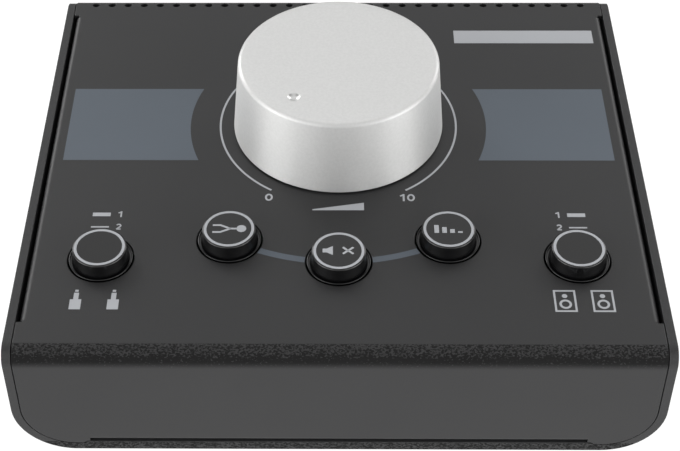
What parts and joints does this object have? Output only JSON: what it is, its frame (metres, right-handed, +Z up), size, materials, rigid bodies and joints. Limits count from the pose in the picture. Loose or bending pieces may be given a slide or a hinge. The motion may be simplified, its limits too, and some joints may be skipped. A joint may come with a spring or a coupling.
{
  "type": "studio monitor controller",
  "caption": "Desktop studio monitor controller: wedge-shaped sheet-metal case, large volume knob, push buttons on a sloping panel and rear jack sockets.",
  "frame": {"origin": "on the desk, under the middle of the box around the whole unit", "axes": "+X to the user's right, +Y to the back, +Z up"},
  "size_m": [0.195, 0.1792, 0.086],
  "materials": {
    "case_coat": "fine-textured black powder coat on bent steel sheet",
    "panel_coat": "satin charcoal powder coat with a soft orange-peel texture",
    "zinc_steel": "bright zinc plate",
    "black_screw": "black zinc plate",
    "foot_rubber": "matt moulded rubber",
    "knob_satin": "satin silver, fine bead-blasted grain",
    "black_nylon": "moulded nylon",
    "shaft_steel": "turned steel",
    "white_nylon": "natural acetal",
    "brass": "turned brass",
    "housing_grey": "glass-filled moulding",
    "track_resin": "phenolic with carbon track",
    "cap_gloss": "glossy black moulding with a printed ring",
    "spring_steel": "spring wire",
    "board_green": "solder mask over glass epoxy",
    "resistor_black": "chip resistor glaze",
    "jack_black": "black thermoplastic",
    "contact_gold": "plated spring contact",
    "header_black": "black thermoplastic",
    "ribbon_grey": "grey vinyl flat cable"
  },
  "bodies": {
    "chassis": {"base_wrap": "case_coat", "top_cover": "panel_coat", "clinch_nuts": "zinc_steel", "base_screws": "black_screw", "foot_front_left": "foot_rubber", "foot_front_right": "foot_rubber", "foot_rear_left": "foot_rubber", "foot_rear_right": "foot_rubber", "pot_bushing": "brass", "pot_washer": "zinc_steel", "pot_nut": "zinc_steel", "pot_housing": "housing_grey", "pot_tracks": "track_resin", "pot_pins": "zinc_steel", "source_spring": "spring_steel", "mono_spring": "spring_steel", "mute_spring": "spring_steel", "dim_spring": "spring_steel", "monitor_spring": "spring_steel", "source_switch": "housing_grey", "mono_switch": "housing_grey", "mute_switch": "housing_grey", "dim_switch": "housing_grey", "monitor_switch": "housing_grey", "switch_pins": "zinc_steel", "control_board": "board_green", "board_standoffs": "zinc_steel", "board_screws": "black_screw", "attenuator_resistors": "resistor_black", "jack_board": "board_green", "source_1_left_jack": "jack_black", "source_1_right_jack": "jack_black", "source_2_left_jack": "jack_black", "source_2_right_jack": "jack_black", "monitor_1_left_jack": "jack_black", "monitor_1_right_jack": "jack_black", "monitor_2_left_jack": "jack_black", "monitor_2_right_jack": "jack_black", "phone_input_jack": "jack_black", "jack_nuts": "zinc_steel", "phone_jack_nut": "zinc_steel", "jack_contacts": "contact_gold", "control_header": "header_black", "jack_header": "header_black", "ribbon_cable": "ribbon_grey"},
    "volume": {"volume_knob": "knob_satin", "knob_insert": "black_nylon", "pot_shaft": "shaft_steel", "pot_rotor": "white_nylon"},
    "source_button": {"source_cap": "cap_gloss", "source_plunger": "white_nylon"},
    "mono_button": {"mono_cap": "cap_gloss", "mono_plunger": "white_nylon"},
    "mute_button": {"mute_cap": "cap_gloss", "mute_plunger": "white_nylon"},
    "dim_button": {"dim_cap": "cap_gloss", "dim_plunger": "white_nylon"},
    "monitor_button": {"monitor_cap": "cap_gloss", "monitor_plunger": "white_nylon"}
  },
  "joints": [
    {"name": "volume_turn", "type": "hinge", "parent": "chassis", "child": "volume", "pos_m": [0, 0.01197, 0.05629], "axis": [0, 0.1045, -0.9945], "range_deg": [-4.1, 289.7]},
    {"name": "source_press", "type": "slide", "parent": "chassis", "child": "source_button", "axis": [0, 0.1045, -0.9945], "range_m": [0, 0.0025], "stiffness_N_per_m": 800, "springref_m": -0.001, "deforming": ["source_spring"]},
    {"name": "mono_press", "type": "slide", "parent": "chassis", "child": "mono_button", "axis": [0, 0.1045, -0.9945], "range_m": [0, 0.0025], "stiffness_N_per_m": 800, "springref_m": -0.001, "deforming": ["mono_spring"]},
    {"name": "mute_press", "type": "slide", "parent": "chassis", "child": "mute_button", "axis": [0, 0.1045, -0.9945], "range_m": [0, 0.0025], "stiffness_N_per_m": 800, "springref_m": -0.001, "deforming": ["mute_spring"]},
    {"name": "dim_press", "type": "slide", "parent": "chassis", "child": "dim_button", "axis": [0, 0.1045, -0.9945], "range_m": [0, 0.0025], "stiffness_N_per_m": 800, "springref_m": -0.001, "deforming": ["dim_spring"]},
    {"name": "monitor_press", "type": "slide", "parent": "chassis", "child": "monitor_button", "axis": [0, 0.1045, -0.9945], "range_m": [0, 0.0025], "stiffness_N_per_m": 800, "springref_m": -0.001, "deforming": ["monitor_spring"]}
  ]
}
